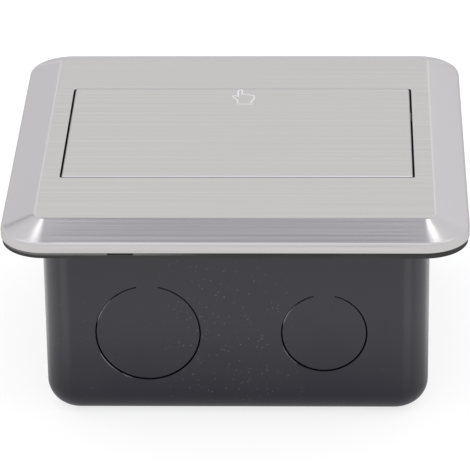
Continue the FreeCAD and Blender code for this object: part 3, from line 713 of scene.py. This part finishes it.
# %% Box, mouldings and hardware
body_of = {node: body for body, nodes in frame["record"]["behaviour"]["bodies"].items() for node in nodes}
slot_of = {part["node"]: part["material_slot"] for part in frame["record"]["subparts"]}
for node in sorted(set(frame["nodes"]) - {"face_plate", "lid"}):
    skin = dress(node + "_skin", merged_copy(node), slot_of[node], body_of[node], 32.0)
    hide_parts(node)
print("skins:", len(frame["nodes"]) - 2)

# %% [markdown]
# ## Burrs round the knockouts
# A knockout is a disc that a punch has almost cut free. Along part of the cut, on the hole's edge at the
# lower left and on the disc's edge at the upper left, the edges catch the light, so a fine burr lies there
# whose pale patches are painted highlights. A burr is an ellipse, half sunk in the wall, carried along an
# arc.

# %% Burrs
KNOCKOUTS = ((-22.8, 27.0), (22.8, 22.0))
KNOCKOUT_HEIGHT = 24.5
KNOCKOUT_SLOT = 0.4
KNOCKOUT_LIFT = 0.12
BURR_WIDTH = 0.3
BURR_HEIGHT = 0.08
# The disc's burr leans this far over the cut. Arcs are in degrees from the top.
BURR_LEAN = 0.2
HOLE_ARC = (198.0, 250.0)
DISC_ARC = (282.0, 322.0)
WALL = node_box("back_box")[1][0]


def burr(middle_x, middle_z, radius, arc, quarter):
    """Wall point at angle a from the top and at b round the ellipse, turned by quarters round the box.

    Its distance from the middle is radius + half the width times cos b, and it stands height times sin b
    out of the wall, less towards both ends."""
    share = np.linspace(0.0, 1.0, 41)[None, :]
    a = np.radians(arc[0] + share * (arc[1] - arc[0]))
    b = np.linspace(0.0, 2 * math.pi, 10, endpoint=False)[:, None]
    taper = np.minimum(1.0, 0.2 + 4 * np.minimum(share, 1 - share))
    reach = radius + taper * BURR_WIDTH / 2 * np.cos(b)
    along = middle_x + reach * np.sin(a)
    depth = -WALL - taper * BURR_HEIGHT * np.sin(b)
    level = middle_z + reach * np.cos(a)
    for _ in range(quarter):
        along, depth = -depth, along
    return np.stack([along, depth, level], axis=2)


burrs = []
for quarter in range(4):
    for x, diameter in KNOCKOUTS:
        off_edge = (KNOCKOUT_SLOT + BURR_WIDTH) / 2
        edges = (
            ("hole", 0.0, diameter / 2 + off_edge, HOLE_ARC),
            ("disc", KNOCKOUT_LIFT, diameter / 2 - off_edge + BURR_LEAN, DISC_ARC),
        )
        for edge, lift, radius, arc in edges:
            name = f"burr_{edge}_{quarter + 1}_{round(diameter)}"
            points = burr(x, KNOCKOUT_HEIGHT + lift, radius, arc, quarter)
            burrs.append(piece(name, points, "burr_glint_paint", "housing", wrap_columns=False, caps=True))
print("burrs:", len(burrs))

# %% [markdown]
# ## Camera
# The photograph was taken from above the front edge with a long lens. The camera's place and turn were
# solved from the plate's edges, so the plate lands on the same pixels.

# %% Camera
CAMERA_PLACE = (26.92, -854.44, 391.21 + PLATE_TOP)
CAMERA_PITCH = math.radians(26.2355)
CAMERA_YAW = math.radians(1.9113)
CAMERA_ROLL = math.radians(0.7958)
CAMERA_LENS = 269.3


def camera_turn(pitch, yaw, roll):
    """Camera axes from its pitch down, its yaw to the left and its roll."""
    ahead = Vector((-math.sin(yaw) * math.cos(pitch), math.cos(yaw) * math.cos(pitch), -math.sin(pitch)))
    right = Vector((math.cos(yaw), math.sin(yaw), 0.0))
    down = ahead.cross(right)
    level = math.cos(roll) * right + math.sin(roll) * down
    plumb = -math.sin(roll) * right + math.cos(roll) * down
    return Matrix((level, -plumb, -ahead)).transposed().to_4x4()


camera = bpy.data.objects.new("camera", bpy.data.cameras.new("camera"))
bpy.context.scene.collection.objects.link(camera)
turn = camera_turn(CAMERA_PITCH, CAMERA_YAW, CAMERA_ROLL)
camera.matrix_world = Matrix.Translation(Vector(CAMERA_PLACE) * MM) @ turn
camera.data.lens = CAMERA_LENS
camera.data.sensor_width = 36.0
camera.data.clip_start = 0.05
bpy.context.scene.camera = camera
print("camera at", [round(v, 4) for v in camera.matrix_world.translation])

# %% [markdown]
# ## The table
# A white table and a white room. The table is white to the camera and keeps a light shadow. A band of it
# behind the object is darker for mirrored rays alone, as if something stood there out of the picture.

# %% Floor
TABLE_GLOW = 0.76
# Behind the object the table mirrors darker: where that band fades in and out, and its glow.
BAND_IN = (0.13, 0.2)
BAND_OUT = (0.42, 0.6)
BAND_GLOW = 0.52


def white_table():
    """A wide sheet at the box's underside."""
    size = 6.0
    x, y = np.meshgrid([-size, size], [-size, size])
    corners = np.stack([x, y, np.full_like(x, cad_box[0][2] - 0.0002)], axis=2).reshape(-1, 3)
    mesh = bpy.data.meshes.new("table")
    mesh.from_pydata(corners.tolist(), [], [(0, 1, 3, 2)])
    table = bpy.data.objects.new("table", mesh)
    bpy.context.scene.collection.objects.link(table)
    return table


def table_white(graph):
    """White with a light shadow where it is seen or mirrored, plain white where it only gives light."""
    rays = ["Is Camera Ray", "Is Glossy Ray", "Is Transmission Ray"]
    camera_ray, glossy_ray, glass_ray = (graph.node("ShaderNodeLightPath", {}, {}, ray) for ray in rays)
    seen = camera_ray.larger(glossy_ray.larger(glass_ray))
    _, y, _ = graph.split(graph.place())
    behind = graph.ramp(y, *BAND_IN) * (1 - graph.ramp(y, *BAND_OUT)) * glossy_ray
    glow = graph.colour_mix(behind, grey(TABLE_GLOW), grey(BAND_GLOW))
    return {
        "Base Color": graph.colour_mix(seen, grey(0.88), grey(0.3)),
        "Roughness": 0.9,
        "Specular IOR Level": 0.0,
        "Emission Color": graph.colour_mix(seen, grey(0.0), glow),
        "Emission Strength": 1.0,
    }


table = white_table()
table.data.materials.append(finish("table_white", table_white))
print("table at", round(table.data.vertices[0].co.z / MM, 2), "mm")

# %% [markdown]
# ## The room
# Steel has no colour of its own to speak of, it shows the room: the flat top mirrors the low wall behind, the
# front bevel mirrors a dimmer strip of ceiling, and the rim mirrors the table. So the room is drawn as
# brightness by direction. It starts as a ramp over the angle round the plate's width. Strips, round patches
# and columns are then added where an edge or a corner of the steel mirrors something brighter or darker,
# and light from above and from the sides is made a little bluer.

# %% Room
# Brightness by the angle round the plate's width: 0 is the foot of the back wall, 0.5 is overhead.
ROOM_LEVELS = [(0.0, 1.0), (0.08, 1.1), (0.17, 1.11), (0.26, 1.05), (0.45, 1.1), (0.75, 1.1), (1.0, 1.0)]
ROOM_PEAK = 2.0
# A dim strip of ceiling behind, mirrored by the front bevel, and a strip light from overhead to the front,
# mirrored by the lid's front edge: where each lies round the width, its half-width and its brightness.
STRIP_MIDDLE = -0.03
STRIPS = [((0.19, 0.33), (0.43, 0.51), 0.14, -0.475), ((0.57, 0.6), (0.69, 0.72), 0.18, 0.21)]
# Four bright patches overhead, mirrored by the plate's front corners, two dark ones and a faint bright one
# in the back wall, and two broad ones to the sides: direction, half-angle in degrees, brightness.
PATCHES = [
    ((-0.192, 0.421, 0.886), 3.5, 2.5),
    ((-0.233, 0.232, 0.944), 4.5, 1.0),
    ((0.156, 0.43, 0.889), 3.7, 2.4),
    ((0.209, 0.242, 0.948), 4.5, 1.0),
    ((-0.39, 0.826, 0.406), 4.0, -0.46),
    ((-0.365, 0.775, 0.515), 8.0, -0.15),
    ((0.27, 0.893, 0.36), 8.5, 0.06),
    ((-0.5, 0.0, 0.866), 14.0, 0.3),
    ((0.5, 0.0, 0.866), 14.0, 0.3),
]
# Two pale columns in the back wall, mirrored by the plate's side ridges: place, half-width, brightness.
COLUMNS = [(-0.217, 0.055, 0.3), (0.165, 0.055, 0.3)]
# Where strips and patches start and end to fade, in half-widths.
SOFT_EDGE = (0.6, 1.4)

world = bpy.data.worlds.new("white_room")
bpy.context.scene.world = world
world.use_nodes = True
room = Graph(world.node_tree)
looking = room.node("ShaderNodeTexCoord", {}, {}, "Generated")
along_x, along_y, along_z = room.split(looking)
round_width = along_z.math("ARCTAN2", along_z, along_y) / math.pi
stops = [(place, brightness / ROOM_PEAK) for place, brightness in ROOM_LEVELS]
level = room.node("ShaderNodeValToRGB", {"stops": stops}, {0: round_width}) * ROOM_PEAK
off_middle = abs(along_x - STRIP_MIDDLE)
for start, end, half_width, brightness in STRIPS:
    within = room.ramp(round_width, *start) * (1 - room.ramp(round_width, *end))
    near_middle = 1 - room.ramp(off_middle, *(share * half_width for share in SOFT_EDGE))
    level = level + within * near_middle * brightness
for direction, half_angle, brightness in PATCHES:
    sockets = {0: looking, 1: direction}
    facing = room.node("ShaderNodeVectorMath", {"operation": "DOT_PRODUCT"}, sockets, "Value")
    inside, outside = (math.cos(math.radians(share * half_angle)) for share in SOFT_EDGE)
    level = level + room.ramp(facing, outside, inside) * brightness
for place, half_width, brightness in COLUMNS:
    apart = abs(along_x - place)
    level = level + (1 - room.ramp(apart, 0.0, half_width)) * room.ramp(along_y, 0.7, 0.85) * brightness
aside = room.ramp(abs(along_x), 0.2, 0.3) * room.ramp(along_z, 0.15, 0.3)
upward = room.ramp(along_z, 0.6, 0.8) * (1 - room.ramp(off_middle, 0.13, 0.19))
tint = room.colour_mix(aside * 0.25 + upward * 0.5, (1.0, 1.0, 1.0, 1.0), (0.97, 0.97, 1.14, 1.0))
colour = room.node("ShaderNodeVectorMath", {"operation": "SCALE"}, {0: tint, "Scale": level})
backdrop = room.node("ShaderNodeBackground", {}, {"Color": colour, "Strength": 1.0})
room.node("ShaderNodeOutputWorld", {}, {"Surface": backdrop})
bpy.context.scene.view_settings.view_transform = "Standard"
print("room: strips", len(STRIPS), "patches", len(PATCHES), "columns", len(COLUMNS))
